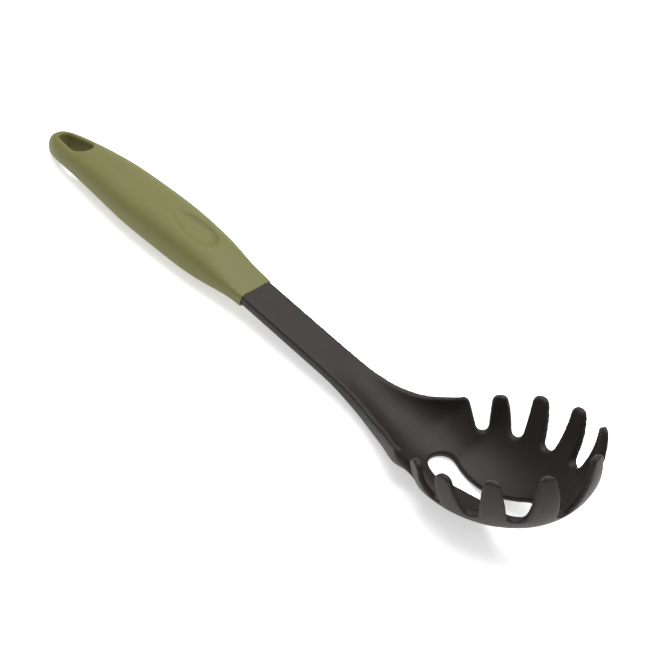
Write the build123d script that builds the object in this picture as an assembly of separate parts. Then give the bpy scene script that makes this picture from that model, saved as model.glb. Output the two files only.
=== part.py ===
from build123d import *
import math
import os

# Pasta server, about 327 mm long: a black nylon head (pronged bowl, neck, stem
# and tang) and a soft olive grip over a rigid core.
# Millimetres. The part is built along its stem: X runs from the handle end to
# the bowl's front, Z = 0 is the flat top of the stem, and Y is across.
# At the end it is tipped until bowl and handle end stand on one plane, +Z up,
# with the origin on that plane under the middle of the length.

# Bowl, measured on its outer surface
bowl_half_length = 50.0
bowl_half_width = 37.9
bowl_depth = 43.6
bowl_fullness = 2.2
bowl_wall = 2.6
bowl_centre_x = 275.2
bowl_centre_z = 36.3
bowl_tilt_angle = 26.0
bowl_lead = 2.0
rim_spare = 6.0
hinge_clear = 3.0
fan_step_angle = 13.0
blend_place_shares = [0.35, 0.7]
blend_flare_share = 0.2

# Gaps between the prongs on one side of the bowl, from the front one back
gap_angles = [18.2, 49.5, 76.9, 101.3, 125.3]
gap_floor_drops = [26.4, 26.4, 27.8, 28.0, 27.6]
gap_draft_angles = [13.0, 10.5, 11.5, 10.5, 9.5]
gap_floor_widths = [7.4, 8.4, 7.8, 6.6, 6.4]
gap_reach = 30.0

# Prong tips
tip_drop = 7.6
tip_plane_angle = 8.4
tip_radii = [3.0, 2.7, 3.2, 3.4, 2.9, 3.0]
shoulder_drop = 0.5

# Stem and tang
stem_width = 18.9
stem_thickness = 6.8
stem_fullness = 3.5
stem_edge_flat = 1.2
stem_station_count = 8
tang_length = 72.0
tang_width = 11.0
tang_thickness = 4.0
tang_hole = 5.0
tang_hole_count = 3

# Neck: from the straight stem to the bowl's shoulders
neck_start = 196.0
neck_length = 56.0
neck_half_width = 26.0
neck_rise = 10.4
neck_dish = 6.2
neck_belly = 9.7
neck_place_shares = [0.0, 0.125, 0.25, 0.375, 0.5, 0.625, 0.75, 0.875, 1.0]
neck_width_shares = [0.3635, 0.37, 0.378, 0.408, 0.462, 0.55, 0.664, 0.815, 1.0]
neck_rise_shares = [0.0, 0.0, 0.007, 0.02, 0.045, 0.125, 0.29, 0.6, 1.0]
neck_dish_shares = [0.0, 0.05, 0.19, 0.37, 0.53, 0.67, 0.79, 0.9, 1.0]
neck_belly_shares = [0.701, 0.72, 0.82, 0.91, 0.96, 0.985, 1.0, 1.0, 1.0]
neck_edge_shares = [0.46, 0.5, 0.58, 0.7, 0.82, 0.92, 1.0, 1.0, 1.0]
neck_dish_roundness = [2.0, 2.0, 2.0, 1.95, 1.85, 1.7, 1.5, 1.25, 1.1]
neck_belly_fullness = [3.5, 3.4, 3.3, 3.2, 3.0, 2.8, 2.5, 2.3, 2.1]

# Drain slot in the bowl's floor: a round lobe, a waist and a front lobe
slot_back_x = 266.5
slot_back_radius = 7.5
slot_waist_half = 3.6
slot_front_x = 305.5
slot_front_radius = 7.2
slot_edge_round = 0.8

# Grip: a crowned body that swells, droops to its end and carries a hang hole
grip_length = 145.6
grip_width = 31.0
grip_thickness = 19.5
grip_droop = 15.3
grip_fullness = [2.5, 2.5, 2.5, 2.5, 2.5, 2.5, 2.5, 2.6, 2.9, 4.5, 8.0]
grip_under_fullness = [2.5, 2.5, 2.5, 2.5, 2.5, 2.5, 2.5, 2.5, 2.5, 2.6, 2.8]
nose_blunt_length = 7.0
nose_power = 1.32
nose_place_shares = [0.016, 0.065, 0.16, 0.34, 0.62]
grip_place_shares = [0.127, 0.196, 0.264, 0.333, 0.47, 0.61, 0.745, 0.815, 0.88, 0.94, 1.0]
grip_width_shares = [0.684, 0.768, 0.852, 0.916, 1.0, 0.994, 0.94, 0.88, 0.79, 0.71, 0.66]
grip_thickness_shares = [0.66, 0.72, 0.77, 0.83, 0.93, 1.0, 0.97, 0.87, 0.69, 0.5, 0.42]
grip_droop_shares = [0.75, 0.635, 0.547, 0.48, 0.41, 0.315, 0.27, 0.25, 0.235, 0.222, 0.225]

# Rigid core inside the grip, around the tang
core_skin = 2.4
core_start = 33.5
core_end = 133.6

# Hang hole, a rounded drop: narrow at the handle end
hang_narrow_x = 10.2
hang_narrow_radius = 3.3
hang_wide_x = 22.8
hang_wide_radius = 5.6
hang_lean_angle = 11.0
hang_lip_round = 1.2

# Thumb recess on the grip's top
recess_start = 84.0
recess_length = 33.0
recess_half_width = 7.4
recess_depth = 2.6
recess_lift = 0.35
recess_place_shares = [0.06, 0.25, 0.5, 0.75, 0.93]
recess_width_shares = [0.16, 0.56, 0.93, 0.97, 0.58]

overrun = 5.0
steepest_rest_angle = 10.0
quarter_turn_angle = 90.0
round_fullness = 2.0
halvings = 40
fine_steps = 200
curve_steps = 6
oval_steps = 6


def smooth_line(points):
    """One smooth curve through points that are evenly spaced along it."""
    last = len(points) - 1
    return Edge.make_spline(points, parameters=[i / last for i in range(last + 1)])


def evenly_spaced(curve):
    """Points at even distances along a curve, which is a function of 0 to 1."""
    fine = [curve(i / fine_steps) for i in range(fine_steps + 1)]
    reached = [0.0]
    for here, there in zip(fine, fine[1:]):
        reached.append(reached[-1] + math.dist(here, there))
    points = [fine[0]]
    for i in range(1, curve_steps):
        goal = reached[-1] * i / curve_steps
        after = next(k for k, length in enumerate(reached) if length > goal)
        share = (goal - reached[after - 1]) / (reached[after] - reached[after - 1])
        points.append(between(fine[after - 1], fine[after], share))
    return points + [fine[-1]]


def between(first, second, share):
    """The point at a share of the way from the first to the second."""
    return tuple(a + (b - a) * share for a, b in zip(first, second))


def bowl_half_width_at(x, z, inset):
    """Half the bowl's width at a point of its middle plane, or 0 outside it."""
    lean = math.radians(bowl_tilt_angle)
    dx = x - bowl_centre_x
    dz = z - bowl_centre_z
    along = dx * math.cos(lean) + dz * math.sin(lean)
    below = dx * math.sin(lean) - dz * math.cos(lean)
    depth_share = max(below, 0.0) / (bowl_depth - inset)
    if depth_share >= 1.0:
        return 0.0
    along -= bowl_lead * depth_share**2
    plan_share = (1.0 - depth_share**bowl_fullness) ** (1.0 / bowl_fullness)
    rest = plan_share**2 - (along / (bowl_half_length - inset)) ** 2
    return (bowl_half_width - inset) * math.sqrt(max(rest, 0.0))


def bowl_curve(start, direction, near, inset):
    """Half curve of the bowl in a plane across it, from its floor to its side.

    start is a point of the middle plane, direction points down to the floor, and
    near is the distance from start at which the curve ends.
    """
    low = near
    high = bowl_half_length + bowl_depth
    for _ in range(halvings):
        middle = (low + high) / 2
        x = start[0] + direction[0] * middle
        z = start[1] + direction[1] * middle
        if bowl_half_width_at(x, z, inset) > 0.0:
            low = middle
        else:
            high = middle

    def curve(share):
        reach = near + (low - near) * math.cos(math.pi / 2 * share)
        x = start[0] + direction[0] * reach
        z = start[1] + direction[1] * reach
        width = bowl_half_width_at(x, z, inset) if share else 0.0
        return x, width, z

    return evenly_spaced(curve)


def neck_curve(x, half_width, top, floor, side_power, floor_power):
    """Half curve of the neck in an upright plane, from its floor to its edge."""

    def curve(share):
        angle = math.pi / 2 * share
        across = half_width * math.sin(angle) ** side_power
        down = (top - floor) * max(math.cos(angle), 0.0) ** floor_power
        return x, across, top - down

    return evenly_spaced(curve)


def mixed(first, second, share):
    """Points between two half curves."""
    return [between(p, q, share) for p, q in zip(first, second)]


def section(outer, inner):
    """Closed outline of the wall from its outer and inner half curves."""
    sides = []
    for half in (outer, inner):
        mirrored = [(x, -y, z) for x, y, z in reversed(half[1:])]
        sides.append(mirrored + half)
    edges = [
        smooth_line(sides[0]),
        Edge.make_line(sides[0][-1], sides[1][-1]),
        smooth_line(list(reversed(sides[1]))),
        Edge.make_line(sides[1][0], sides[0][0]),
    ]
    return Wire(edges)


def stem_section(x):
    """Outline of the straight stem: flat top, rounded underneath."""
    half = stem_width / 2
    power = 2 / stem_fullness
    outer = neck_curve(x, half, 0.0, -stem_thickness, power, power)
    inner = neck_curve(x, half - stem_edge_flat, 0.0, 0.0, 1.0, 1.0)
    return section(outer, inner)


def neck_curves(i, x):
    """Outer and inner half curves of the neck at one of its stations."""
    half = neck_half_width * neck_width_shares[i]
    top = neck_rise * neck_rise_shares[i]
    belly_power = 2 / neck_belly_fullness[i]
    belly = -neck_belly * neck_belly_shares[i]
    dish = -neck_dish * neck_dish_shares[i]
    edge = bowl_wall * neck_edge_shares[i]
    outer = neck_curve(x, half, top, belly, belly_power, belly_power)
    inner = neck_curve(x, half - edge, top, dish, 1.0, neck_dish_roundness[i])
    return outer, inner


def head_shell():
    """The wall of stem, neck and bowl in one smooth form, with its rim uncut."""
    lean = math.radians(bowl_tilt_angle)
    hinge_x = bowl_centre_x - rim_spare * math.sin(lean)
    hinge_z = bowl_centre_z + rim_spare * math.cos(lean)
    wires = []
    for i in range(stem_station_count):
        wires.append(stem_section(core_end + (neck_start - core_end) * i / stem_station_count))
    for i, share in enumerate(neck_place_shares):
        outer, inner = neck_curves(i, neck_start + neck_length * share)
        wires.append(section(outer, inner))
    # Between the shoulders and the bowl's lowest point the two forms are mixed.
    neck_end = neck_start + neck_length
    for share in blend_place_shares:
        x = neck_end + (hinge_x - neck_end) * share
        top = neck_rise + (hinge_z - hinge_clear - neck_rise) * share
        flare = 1 + blend_flare_share * share
        curves = []
        for inset, own in zip((0.0, bowl_wall), neck_curves(-1, x)):
            stretched = [
                (x, y * flare, z + (top - neck_rise) * (i / curve_steps) ** 2)
                for i, (_, y, z) in enumerate(own)
            ]
            exact = bowl_curve((x, hinge_z), (0.0, -1.0), hinge_z - top, inset)
            curves.append(mixed(stretched, exact, share))
        wires.append(section(*curves))
    turns = round((quarter_turn_angle + bowl_tilt_angle) / fan_step_angle)
    for i in range(turns + 1):
        angle = math.radians((quarter_turn_angle + bowl_tilt_angle) * i / turns)
        down = (math.sin(angle), -math.cos(angle))
        curves = [
            bowl_curve((hinge_x, hinge_z), down, hinge_clear, inset)
            for inset in (0.0, bowl_wall)
        ]
        wires.append(section(*curves))
    return Solid.make_loft(wires)


def bowl_point(along, across, below):
    """A point given along, across and below the bowl's own centre plane."""
    lean = math.radians(bowl_tilt_angle)
    x = bowl_centre_x + along * math.cos(lean) + below * math.sin(lean)
    z = bowl_centre_z + along * math.sin(lean) - below * math.cos(lean)
    return (x, across, z)


def slotted(shell):
    """The shell with its drain slot, whose edges are rounded."""
    shape = shell - slot_cutter()
    edges = [
        edge
        for edge in shape.edges()
        if slot_back_x - slot_back_radius < edge.center().X < slot_front_x + slot_front_radius
        and abs(edge.center().Y) < slot_back_radius + bowl_wall
        and edge.center().Z < bowl_centre_z / 2
    ]
    return shape.solids()[0].fillet(slot_edge_round, edges)


def rim_block():
    """Everything above the plane of the prong tips, from the neck to the front."""
    rise = math.tan(math.radians(tip_plane_angle))
    back = neck_start + neck_length * neck_place_shares[-3] - bowl_centre_x
    front = bowl_half_length + bowl_depth
    corners = [
        bowl_point(back, 0.0, tip_drop - rise * back),
        bowl_point(front, 0.0, tip_drop - rise * front),
        bowl_point(front, 0.0, -front),
        bowl_point(back, 0.0, -front),
    ]
    side = Face(Wire.make_polygon([Vector(*corner) for corner in corners]))
    return extrude(side, amount=2 * bowl_half_width, dir=(0, 1, 0), both=True)


def gap_block(i):
    """The space between two prongs, with its floor and the tips beside it round.

    Its outline stands across the gap. It is pushed out along the plane of the tips.
    """
    turn = math.radians(gap_angles[i])
    out_along = bowl_half_length * math.cos(turn)
    out_across = bowl_half_width * math.sin(turn)
    far = math.hypot(out_along, out_across)
    outward = (out_along / far, out_across / far)
    rise = math.tan(math.radians(tip_plane_angle))
    draft = math.radians(gap_draft_angles[i])
    near = far - gap_reach
    floor_drop = gap_floor_drops[i] + rise * outward[0] * gap_reach

    def placed(side, up, reach):
        along = outward[0] * reach - outward[1] * side
        across = outward[1] * reach + outward[0] * side
        return Vector(*bowl_point(along, across, floor_drop - up))

    radius = gap_floor_widths[i] / 2
    foot = (radius * math.cos(draft), radius - radius * math.sin(draft))
    tip_height = floor_drop - tip_drop + rise * outward[0] * near
    slope = rise * outward[1]
    top = tip_height + rim_spare
    sides = []
    for way, tip_radius in ((-1, tip_radii[i]), (1, tip_radii[i + 1])):
        height = tip_height
        if way == 1 and i == len(gap_angles) - 1:
            height -= shoulder_drop
        tilt = way * slope
        run = (height - tilt * foot[0] - foot[1]) / (math.cos(draft) + tilt * math.sin(draft))
        corner = (foot[0] + run * math.sin(draft), foot[1] + run * math.cos(draft))
        ledge = (corner[0] + 2 * tip_radius, corner[1] - tilt * 2 * tip_radius)
        outline = [foot, corner, ledge, (ledge[0], top)]
        sides.append([placed(way * side, up, near) for side, up in outline])
    left, right = sides
    edges = [
        Edge.make_three_point_arc(left[0], placed(0.0, 0.0, near), right[0]),
        *[Edge.make_line(p, q) for p, q in zip(right, right[1:])],
        Edge.make_line(right[-1], left[-1]),
        *[Edge.make_line(p, q) for p, q in zip(left, left[1:])],
    ]
    face = Face(Wire(edges))
    for side, tip_radius in ((left, tip_radii[i]), (right, tip_radii[i + 1])):
        corner = min(face.vertices(), key=lambda vertex: (Vector(vertex) - side[1]).length)
        face = face.fillet_2d(tip_radius, [corner])
    heading = placed(0.0, rise * outward[0], 1.0) - placed(0.0, 0.0, 0.0)
    return extrude(face, amount=2 * gap_reach, dir=heading.normalized())


def slot_cutter():
    """The drain slot: two round lobes joined by curves that meet them smoothly."""
    span = slot_front_x - slot_back_x

    def reach(lobe, bend):
        return math.sqrt(lobe**2 - slot_waist_half**2 + 2 * bend * (lobe - slot_waist_half))

    low = 0.0
    high = span * span
    for _ in range(halvings):
        bend = (low + high) / 2
        if reach(slot_back_radius, bend) + reach(slot_front_radius, bend) < span:
            low = bend
        else:
            high = bend
    waist_x = slot_back_x + reach(slot_back_radius, bend)
    waist_y = slot_waist_half + bend

    def meeting(lobe_x, lobe):
        share = lobe / (lobe + bend)
        return lobe_x + (waist_x - lobe_x) * share, waist_y * share

    floor = -bowl_depth
    back = meeting(slot_back_x, slot_back_radius)
    front = meeting(slot_front_x, slot_front_radius)
    edges = [
        Edge.make_three_point_arc(
            (back[0], back[1], floor),
            (slot_back_x - slot_back_radius, 0, floor),
            (back[0], -back[1], floor),
        ),
        Edge.make_three_point_arc(
            (back[0], -back[1], floor),
            (waist_x, -slot_waist_half, floor),
            (front[0], -front[1], floor),
        ),
        Edge.make_three_point_arc(
            (front[0], -front[1], floor),
            (slot_front_x + slot_front_radius, 0, floor),
            (front[0], front[1], floor),
        ),
        Edge.make_three_point_arc(
            (front[0], front[1], floor),
            (waist_x, slot_waist_half, floor),
            (back[0], back[1], floor),
        ),
    ]
    return extrude(Face(Wire(edges)), amount=bowl_depth + bowl_centre_z / 2, dir=(0, 0, 1))


def oval(x, half_width, centre, half_height, fullness, under_fullness):
    """Closed outline in an upright plane: an ellipse, or fuller than one."""
    turns = 4 * oval_steps
    points = []
    for i in range(turns):
        angle = 2 * math.pi * i / turns - math.pi / 2
        power = 2 / (fullness if math.sin(angle) > 0 else under_fullness)
        side = math.copysign(abs(math.cos(angle)) ** power, math.cos(angle))
        up = math.copysign(abs(math.sin(angle)) ** power, math.sin(angle))
        points.append((x, half_width * side, centre + half_height * up))
    steps = [i / turns for i in range(turns + 1)]
    return Wire([Edge.make_spline(points, periodic=True, parameters=steps)])


def grip_at(i):
    """Place, half width, centre height, half height and fullness of a grip station."""
    return (
        grip_length * grip_place_shares[i],
        grip_width / 2 * grip_width_shares[i],
        -grip_droop * grip_droop_shares[i],
        grip_thickness / 2 * grip_thickness_shares[i],
        grip_fullness[i],
        grip_under_fullness[i],
    )


def nose_at(share):
    """The same sizes in the rounded nose, at a share of its length."""
    place, half_width, centre, half_height, *fullness = grip_at(0)
    x = place * share
    taper = math.sqrt(1 - (1 - share) ** nose_power)
    blunt = math.sqrt(1 - max(1 - x / nose_blunt_length, 0.0) ** 2)
    droop = -grip_droop - (-grip_droop - centre) * share
    return x, half_width * taper, droop, half_height * blunt, *fullness


def grip_body():
    """Outer form of the grip, from the nose's tip to the stem."""
    shapes = [nose_at(share) for share in nose_place_shares]
    shapes += [grip_at(i) for i in range(len(grip_place_shares))]
    wires = [oval(*shape) for shape in shapes]
    return Solid.make_loft([Vertex(0.0, 0.0, -grip_droop)] + wires)


def core_body():
    """Outer form of the core: the grip's own form less the skin."""
    wires = []
    for i in range(len(grip_place_shares)):
        x, half_width, centre, half_height, *fullness = grip_at(i)
        wires.append(oval(x, half_width - core_skin, centre, half_height - core_skin, *fullness))
    long_form = Solid.make_loft(wires)
    middle = (core_start + core_end) / 2
    window = Pos(middle, 0, -grip_droop / 2) * Box(
        core_end - core_start, 2 * grip_width, 4 * grip_thickness
    )
    return long_form & window


def hang_cutter():
    """A rounded drop, cut square to the drooping end of the grip."""
    span = hang_wide_x - hang_narrow_x
    slope = math.asin((hang_wide_radius - hang_narrow_radius) / span)
    across = math.cos(slope)
    back = -math.sin(slope)
    narrow = (hang_narrow_radius * back, hang_narrow_radius * across)
    wide = (span + hang_wide_radius * back, hang_wide_radius * across)
    edges = [
        Edge.make_three_point_arc(
            (narrow[0], narrow[1], 0), (-hang_narrow_radius, 0, 0), (narrow[0], -narrow[1], 0)
        ),
        Edge.make_line((narrow[0], -narrow[1], 0), (wide[0], -wide[1], 0)),
        Edge.make_three_point_arc(
            (wide[0], -wide[1], 0), (span + hang_wide_radius, 0, 0), (wide[0], wide[1], 0)
        ),
        Edge.make_line((wide[0], wide[1], 0), (narrow[0], narrow[1], 0)),
    ]
    prism = extrude(Face(Wire(edges)), amount=grip_thickness, dir=(0, 0, 1), both=True)
    place = Location((hang_narrow_x, 0, -grip_droop), (0, -hang_lean_angle, 0))
    return place * prism


def grip_top(x):
    """Height of the grip's crown line at x."""
    shapes = [grip_at(i) for i in range(len(grip_place_shares))]
    tops = [(shape[0], shape[2] + shape[3]) for shape in shapes]
    after = next(i for i, (place, _) in enumerate(tops) if place > x)
    (x0, z0), (x1, z1) = tops[after - 1], tops[after]
    return z0 + (z1 - z0) * (x - x0) / (x1 - x0)


def recess_cutter():
    """A hollow leaf on the crown: pointed to the handle end, round to the stem."""
    wires = []
    fullness = (round_fullness, round_fullness)
    for place, width in zip(recess_place_shares, recess_width_shares):
        x = recess_length * place
        wires.append(oval(x, recess_half_width * width, 0, recess_depth * width, *fullness))
    ends = [Vertex(0, 0, 0), Vertex(recess_length, 0, 0)]
    leaf = Solid.make_loft([ends[0]] + wires + [ends[1]])
    start_z = grip_top(recess_start)
    end_z = grip_top(recess_start + recess_length)
    lift = math.degrees(math.atan2(end_z - start_z, recess_length))
    return Location((recess_start, 0, start_z + recess_lift), (0, -lift, 0)) * leaf


def tang():
    """Flat tongue of the head, with the holes that lock it in the core."""
    middle = -stem_thickness / 2
    length = tang_length + overrun
    bar = Pos(core_end - tang_length + length / 2, 0, middle) * Box(
        length, tang_width, tang_thickness
    )
    pitch = tang_length / (tang_hole_count + 1)
    for i in range(tang_hole_count):
        x = core_end - pitch * (i + 1)
        bar = bar - Pos(x, 0, middle) * Cylinder(tang_hole / 2, 2 * tang_thickness)
    return bar


def server_head():
    """Bowl, neck and stem with the tang that goes into the grip."""
    space = rim_block()
    for i in range(len(gap_angles)):
        gap = gap_block(i)
        space = space + gap + mirror(gap, Plane.XZ)
    shape = slotted(head_shell()) - space
    return shape.solids()[0] + tang()


def handle_grip(core, head):
    """The grip with its hang hole and thumb recess, hollow for core and head."""
    shape = grip_body() - hang_cutter()
    lips = [
        edge
        for edge in shape.edges()
        if edge.center().X < hang_wide_x + 2 * hang_wide_radius
        and edge.geom_type == GeomType.BSPLINE
    ]
    shape = shape.solids()[0].fillet(hang_lip_round, lips)
    return shape - recess_cutter() - core - head


def tipped(shape, pitch):
    """The shape turned about the across axis."""
    return shape.rotate(Axis.Y, pitch)


def resting_pitch(head, grip):
    """The turn at which bowl and handle end are equally low."""
    low = 0.0
    high = steepest_rest_angle
    for _ in range(halvings // 3):
        pitch = (low + high) / 2
        head_low = tipped(head, pitch).bounding_box().min.Z
        grip_low = tipped(grip, pitch).bounding_box().min.Z
        if head_low > grip_low:
            low = pitch
        else:
            high = pitch
    return pitch


head = server_head()
core_form = core_body()
grip = handle_grip(core_form, head)
core = core_form - head

pitch = resting_pitch(head, grip)
pieces = {"server_head": head, "handle_core": core, "handle_grip": grip}
pieces = {name: tipped(shape, pitch) for name, shape in pieces.items()}
boxes = [shape.bounding_box() for shape in pieces.values()]
middle_x = (min(box.min.X for box in boxes) + max(box.max.X for box in boxes)) / 2
lowest = min(box.min.Z for box in boxes)
os.makedirs("parts", exist_ok=True)
for name, shape in pieces.items():
    export_step(Pos(-middle_x, 0, -lowest) * shape, f"parts/{name}.step")
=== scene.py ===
import math

import bmesh
import bpy
from mathutils import Euler, Matrix, Vector


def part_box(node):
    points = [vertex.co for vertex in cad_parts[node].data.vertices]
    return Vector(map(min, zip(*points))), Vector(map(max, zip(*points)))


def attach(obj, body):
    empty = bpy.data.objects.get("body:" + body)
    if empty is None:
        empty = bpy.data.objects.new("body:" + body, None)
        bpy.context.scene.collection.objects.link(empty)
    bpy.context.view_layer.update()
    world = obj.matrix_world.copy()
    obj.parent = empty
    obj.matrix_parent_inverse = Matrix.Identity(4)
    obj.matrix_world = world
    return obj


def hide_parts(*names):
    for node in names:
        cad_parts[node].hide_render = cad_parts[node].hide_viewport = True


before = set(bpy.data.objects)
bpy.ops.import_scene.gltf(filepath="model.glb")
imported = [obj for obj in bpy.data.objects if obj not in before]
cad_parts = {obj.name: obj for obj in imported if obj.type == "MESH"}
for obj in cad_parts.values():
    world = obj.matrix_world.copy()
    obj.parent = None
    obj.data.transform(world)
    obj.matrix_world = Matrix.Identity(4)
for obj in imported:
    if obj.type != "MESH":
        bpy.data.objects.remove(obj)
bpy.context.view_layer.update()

# Camera: metres and degrees in the row frame, and millimetres for the sensor and the lens.
# It looks from the -Y side, turned a little towards the bowl's end.
CAMERA_AZIMUTH = 29.119
CAMERA_ELEVATION = 41.886
CAMERA_ROLL = 18.707
CAMERA_DISTANCE = 0.58435
CAMERA_TARGET = Vector((0.02653, 0.0, 0.02430))
SENSOR_WIDTH = 36.0
CAMERA_LENS = 70.9

# Floor: white and glowing, flat to the flat radius and rising from there
FLOOR_RADIUS = 3.0
FLOOR_FLAT_RADIUS = 2.0
FLOOR_RISE = 0.35
FLOOR_RINGS = 8
FLOOR_SIDES = 48
FLOOR_COLOUR = (0.92, 0.92, 0.92, 1.0)
FLOOR_ROUGHNESS = 0.8
FLOOR_GLOW = 0.56

# Studio: bright overhead and behind, dim on the camera's side
WORLD_DIM = (0.04, 0.04, 0.04, 1.0)
WORLD_BRIGHT = (0.72, 0.72, 0.72, 1.0)
WORLD_LEAN_ANGLE = 12.0
WORLD_DIM_FROM = -0.1
WORLD_BRIGHT_FROM = 0.9
OVERHEAD_POWER = 14.0
OVERHEAD_SIZE = 1.1
OVERHEAD_PLACE = Vector((-0.10, 0.22, 0.92))

# Softened edges of the moulded pieces: grid size and swell in metres, and rounds of smoothing.
# The grid is turned, by angles in radians, so that no long face runs nearly along it.
GRID_TURN_ANGLES = (0.5, 0.6, 0.4)
GRID_TURN = Euler(GRID_TURN_ANGLES).to_matrix().to_4x4()
SMOOTHING_FACTOR = 0.5
HEAD_GRID = 0.0005
HEAD_ROUNDS = 15
HEAD_SWELL = 0.00025
GRIP_GRID = 0.00055
GRIP_ROUNDS = 12
GRIP_SWELL = 0.0001
CORE_GRID = 0.0008
CORE_ROUNDS = 4
CORE_SWELL = -0.0006

# Thumb recess: its place and half sizes as shares of the grip's box, and its own smoothing,
# which fades in from the edge by the steepness given
RECESS_PLACE_SHARE = 0.70
RECESS_HALF_LENGTH_SHARE = 0.17
RECESS_HALF_WIDTH_SHARE = 0.40
RECESS_FADE_STEEPNESS = 1.5
RECESS_ROUNDS = 14

# Mottle and grain that all moulded surfaces share
MOTTLE_DETAIL = 4.0
MOTTLE_ROUGHNESS = 0.6
MOTTLE_LOW = 0.3
MOTTLE_HIGH = 0.7
GRAIN_DETAIL = 3.0
FINE_GRAIN_RATIO = 2.5
GRAIN_STRENGTH = 0.35

# Nylon of the bowl and stem
NYLON_DARK = (0.0125, 0.0088, 0.0080, 1.0)
NYLON_LIGHT = (0.0172, 0.0128, 0.0118, 1.0)
NYLON_ROUGHNESS = (0.44, 0.54)
NYLON_SPECULAR = 0.22
NYLON_MOTTLE_SCALE = 55.0
NYLON_GRAIN_SCALE = 2600.0
NYLON_GRAIN_HEIGHT = 0.00004

# Soft-touch grip
OLIVE_DARK = (0.110, 0.108, 0.032, 1.0)
OLIVE_LIGHT = (0.142, 0.139, 0.043, 1.0)
OLIVE_ROUGHNESS = (0.50, 0.64)
OLIVE_SPECULAR = 0.3
OLIVE_MOTTLE_SCALE = 40.0
OLIVE_GRAIN_SCALE = 3200.0
OLIVE_GRAIN_HEIGHT = 0.00003

# Core inside the grip
CORE_DARK = (0.05, 0.05, 0.04, 1.0)
CORE_LIGHT = (0.08, 0.08, 0.065, 1.0)
CORE_ROUGHNESS = (0.45, 0.6)
CORE_SPECULAR = 0.5
CORE_MOTTLE_SCALE = 60.0
CORE_GRAIN_SCALE = 1800.0
CORE_GRAIN_HEIGHT = 0.00004


def add_camera():
    """The photograph's view, with its turn about the viewing axis."""
    azimuth = math.radians(CAMERA_AZIMUTH)
    elevation = math.radians(CAMERA_ELEVATION)
    roll = math.radians(CAMERA_ROLL)
    level = math.cos(elevation)
    back = Vector((math.sin(azimuth) * level, -math.cos(azimuth) * level, math.sin(elevation)))
    right = Vector((math.cos(azimuth), math.sin(azimuth), 0.0))
    up = back.cross(right)
    turned_right = right * math.cos(roll) + up * math.sin(roll)
    turned_up = up * math.cos(roll) - right * math.sin(roll)
    data = bpy.data.cameras.new("camera")
    data.sensor_width = SENSOR_WIDTH
    data.lens = CAMERA_LENS
    camera = bpy.data.objects.new("camera", data)
    bpy.context.scene.collection.objects.link(camera)
    turn = Matrix((turned_right, turned_up, back)).transposed()
    camera.matrix_world = Matrix.Translation(CAMERA_TARGET + back * CAMERA_DISTANCE) @ turn.to_4x4()
    bpy.context.scene.camera = camera


def colour_blend(tree, factor, first, second):
    """Blends two colours by a factor's socket, and returns the socket of the blend."""
    blend = tree.nodes.new("ShaderNodeMix")
    blend.data_type = "RGBA"
    blend.inputs["A"].default_value = first
    blend.inputs["B"].default_value = second
    tree.links.new(factor, blend.inputs["Factor"])
    return blend.outputs["Result"]


def set_world():
    """A studio that is bright above and behind the object and dim on the camera's side."""
    world = bpy.data.worlds.new("studio")
    world.use_nodes = True
    nodes = world.node_tree.nodes
    links = world.node_tree.links
    lean = math.radians(WORLD_LEAN_ANGLE)
    place = nodes.new("ShaderNodeTexCoord")
    along = nodes.new("ShaderNodeVectorMath")
    along.operation = "DOT_PRODUCT"
    along.inputs[1].default_value = (0.0, math.sin(lean), math.cos(lean))
    links.new(place.outputs["Generated"], along.inputs[0])
    share = nodes.new("ShaderNodeMapRange")
    share.interpolation_type = "SMOOTHSTEP"
    share.inputs["From Min"].default_value = WORLD_DIM_FROM
    share.inputs["From Max"].default_value = WORLD_BRIGHT_FROM
    links.new(along.outputs["Value"], share.inputs["Value"])
    colour = colour_blend(world.node_tree, share.outputs["Result"], WORLD_DIM, WORLD_BRIGHT)
    links.new(colour, nodes["Background"].inputs["Color"])
    bpy.context.scene.world = world


def add_overhead_light():
    """A large square soft light above and behind, pointed at the object."""
    data = bpy.data.lights.new("overhead", "AREA")
    data.shape = "SQUARE"
    data.size = OVERHEAD_SIZE
    data.energy = OVERHEAD_POWER
    light = bpy.data.objects.new("overhead", data)
    bpy.context.scene.collection.objects.link(light)
    light.location = OVERHEAD_PLACE
    light.rotation_mode = "QUATERNION"
    light.rotation_quaternion = (CAMERA_TARGET - OVERHEAD_PLACE).to_track_quat("-Z", "Y")


def floor_mesh():
    """A flat round middle, then rings that rise with the square of the way out."""
    profile = []
    for ring in range(FLOOR_RINGS + 1):
        share = ring / FLOOR_RINGS
        radius = FLOOR_FLAT_RADIUS + (FLOOR_RADIUS - FLOOR_FLAT_RADIUS) * share
        profile.append((radius, FLOOR_RISE * share ** 2))
    corners = [
        (radius * math.cos(math.tau * i / FLOOR_SIDES), radius * math.sin(math.tau * i / FLOOR_SIDES), z)
        for radius, z in profile
        for i in range(FLOOR_SIDES)
    ]
    faces = [tuple(range(FLOOR_SIDES))]
    for ring in range(FLOOR_RINGS):
        near = ring * FLOOR_SIDES
        far = near + FLOOR_SIDES
        for i in range(FLOOR_SIDES):
            after = (i + 1) % FLOOR_SIDES
            faces.append((near + i, far + i, far + after, near + after))
    mesh = bpy.data.meshes.new("floor")
    mesh.from_pydata(corners, [], faces)
    mesh.shade_smooth()
    return mesh


def add_floor():
    """The floor that the server rests on, which rises gently far out."""
    material = bpy.data.materials.new("floor")
    material.use_nodes = True
    shader = material.node_tree.nodes["Principled BSDF"]
    shader.inputs["Base Color"].default_value = FLOOR_COLOUR
    shader.inputs["Roughness"].default_value = FLOOR_ROUGHNESS
    shader.inputs["Emission Color"].default_value = FLOOR_COLOUR
    shader.inputs["Emission Strength"].default_value = FLOOR_GLOW
    mesh = floor_mesh()
    mesh.materials.append(material)
    floor = bpy.data.objects.new("floor", mesh)
    bpy.context.scene.collection.objects.link(floor)


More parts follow.
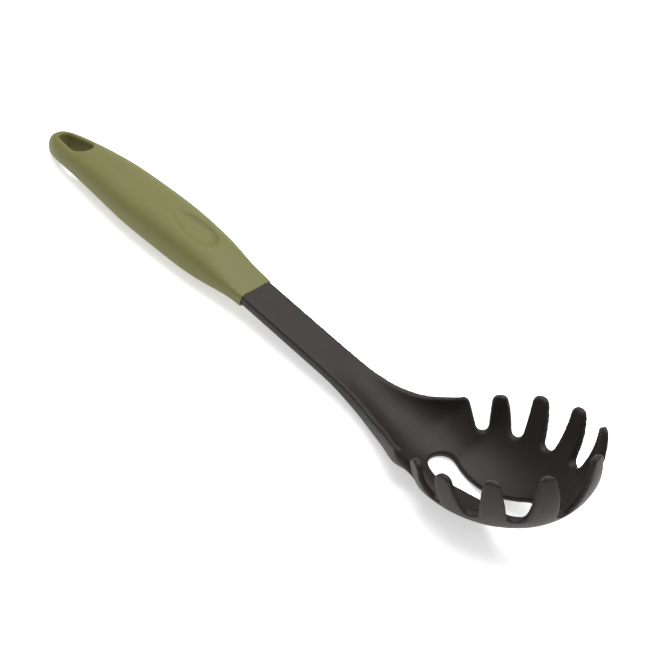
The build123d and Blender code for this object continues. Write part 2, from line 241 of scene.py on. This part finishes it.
def add_mottle(material, dark, light, roughness, scale):
    """Slow mottle between two colours, with a gloss that follows it."""
    nodes = material.node_tree.nodes
    links = material.node_tree.links
    shader = nodes["Principled BSDF"]
    place = nodes.new("ShaderNodeTexCoord")
    mottle = nodes.new("ShaderNodeTexNoise")
    mottle.inputs["Scale"].default_value = scale
    mottle.inputs["Detail"].default_value = MOTTLE_DETAIL
    mottle.inputs["Roughness"].default_value = MOTTLE_ROUGHNESS
    links.new(place.outputs["Object"], mottle.inputs["Vector"])
    colour = colour_blend(material.node_tree, mottle.outputs["Fac"], dark, light)
    links.new(colour, shader.inputs["Base Color"])
    gloss = nodes.new("ShaderNodeMapRange")
    gloss.inputs["From Min"].default_value = MOTTLE_LOW
    gloss.inputs["From Max"].default_value = MOTTLE_HIGH
    gloss.inputs["To Min"].default_value = roughness[0]
    gloss.inputs["To Max"].default_value = roughness[1]
    links.new(mottle.outputs["Fac"], gloss.inputs["Value"])
    links.new(gloss.outputs["Result"], shader.inputs["Roughness"])


def add_grain(material, scale, height):
    """Coarse and fine grain, added up into one bump."""
    nodes = material.node_tree.nodes
    links = material.node_tree.links
    place = nodes.new("ShaderNodeTexCoord")
    coarse = nodes.new("ShaderNodeTexNoise")
    coarse.inputs["Scale"].default_value = scale
    coarse.inputs["Detail"].default_value = GRAIN_DETAIL
    links.new(place.outputs["Object"], coarse.inputs["Vector"])
    fine = nodes.new("ShaderNodeTexVoronoi")
    fine.inputs["Scale"].default_value = scale * FINE_GRAIN_RATIO
    links.new(place.outputs["Object"], fine.inputs["Vector"])
    total = nodes.new("ShaderNodeMath")
    total.operation = "ADD"
    links.new(coarse.outputs["Fac"], total.inputs[0])
    links.new(fine.outputs["Distance"], total.inputs[1])
    bump = nodes.new("ShaderNodeBump")
    bump.inputs["Strength"].default_value = GRAIN_STRENGTH
    bump.inputs["Distance"].default_value = height
    links.new(total.outputs["Value"], bump.inputs["Height"])
    links.new(bump.outputs["Normal"], nodes["Principled BSDF"].inputs["Normal"])


def moulded(name, dark, light, roughness, specular, mottle_scale, grain_scale, grain_height):
    """A moulded plastic or rubber surface with mottle and grain."""
    material = bpy.data.materials.new(name)
    material.use_nodes = True
    shader = material.node_tree.nodes["Principled BSDF"]
    shader.inputs["Specular IOR Level"].default_value = specular
    add_mottle(material, dark, light, roughness, mottle_scale)
    add_grain(material, grain_scale, grain_height)
    return material


def apply_modifiers(piece):
    """Bakes the piece's modifiers into its mesh."""
    seen = piece.evaluated_get(bpy.context.evaluated_depsgraph_get())
    mesh = bpy.data.meshes.new_from_object(seen)
    piece.modifiers.clear()
    piece.data = mesh


def softened(name, parts, grid, rounds, swell):
    """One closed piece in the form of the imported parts, with its edges rounded."""
    form = bmesh.new()
    for part in parts:
        form.from_mesh(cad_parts[part].data)
    mesh = bpy.data.meshes.new(name)
    form.to_mesh(mesh)
    form.free()
    mesh.transform(GRID_TURN)
    piece = bpy.data.objects.new(name, mesh)
    bpy.context.scene.collection.objects.link(piece)
    remesh = piece.modifiers.new("grid", "REMESH")
    remesh.mode = "VOXEL"
    remesh.voxel_size = grid
    remesh.use_smooth_shade = True
    smooth = piece.modifiers.new("rounded", "SMOOTH")
    smooth.factor = SMOOTHING_FACTOR
    smooth.iterations = rounds
    outward = piece.modifiers.new("swell", "DISPLACE")
    outward.mid_level = 0.0
    outward.strength = swell
    apply_modifiers(piece)
    piece.data.transform(GRID_TURN.inverted())
    return piece


def soften_recess(piece):
    """Turns the thumb recess into a hollow with gentle slopes."""
    low, high = (Vector(corner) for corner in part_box("handle_grip"))
    size = high - low
    middle = Vector((low.x + size.x * RECESS_PLACE_SHARE, (low.y + high.y) / 2))
    half_length = size.x * RECESS_HALF_LENGTH_SHARE
    half_width = size.y * RECESS_HALF_WIDTH_SHARE
    group = piece.vertex_groups.new(name="recess")
    for vertex in piece.data.vertices:
        along = (vertex.co.x - middle.x) / half_length
        across = (vertex.co.y - middle.y) / half_width
        weight = RECESS_FADE_STEEPNESS * (1 - math.hypot(along, across))
        if weight > 0 and vertex.co.z > (low.z + high.z) / 2:
            group.add([vertex.index], min(weight, 1.0), "REPLACE")
    smooth = piece.modifiers.new("gentle", "SMOOTH")
    smooth.factor = SMOOTHING_FACTOR
    smooth.iterations = RECESS_ROUNDS
    smooth.vertex_group = group.name
    apply_modifiers(piece)
    piece.vertex_groups.clear()


def stand_for(piece, node, material):
    """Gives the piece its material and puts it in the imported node's place."""
    piece.data.materials.clear()
    piece.data.materials.append(material)
    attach(piece, "root")
    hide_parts(node)


def add_head():
    """Bowl, neck, stem and tang in black nylon."""
    nylon = moulded(
        "nylon", NYLON_DARK, NYLON_LIGHT, NYLON_ROUGHNESS, NYLON_SPECULAR,
        NYLON_MOTTLE_SCALE, NYLON_GRAIN_SCALE, NYLON_GRAIN_HEIGHT,
    )
    head = softened("soft_head", ["server_head"], HEAD_GRID, HEAD_ROUNDS, HEAD_SWELL)
    stand_for(head, "server_head", nylon)


def add_grip():
    """The olive grip, filled by the core's form, which closes the floor of the thumb recess."""
    olive = moulded(
        "olive", OLIVE_DARK, OLIVE_LIGHT, OLIVE_ROUGHNESS, OLIVE_SPECULAR,
        OLIVE_MOTTLE_SCALE, OLIVE_GRAIN_SCALE, OLIVE_GRAIN_HEIGHT,
    )
    grip = softened("soft_grip", ["handle_grip", "handle_core"], GRIP_GRID, GRIP_ROUNDS, GRIP_SWELL)
    soften_recess(grip)
    stand_for(grip, "handle_grip", olive)


def add_core():
    """The core, drawn in a little so that it stays inside the filled grip."""
    plastic = moulded(
        "core", CORE_DARK, CORE_LIGHT, CORE_ROUGHNESS, CORE_SPECULAR,
        CORE_MOTTLE_SCALE, CORE_GRAIN_SCALE, CORE_GRAIN_HEIGHT,
    )
    core = softened("soft_core", ["handle_core"], CORE_GRID, CORE_ROUNDS, CORE_SWELL)
    stand_for(core, "handle_core", plastic)


add_camera()
set_world()
add_overhead_light()
add_floor()
bpy.context.scene.view_settings.view_transform = "Standard"

add_head()
add_grip()
add_core()
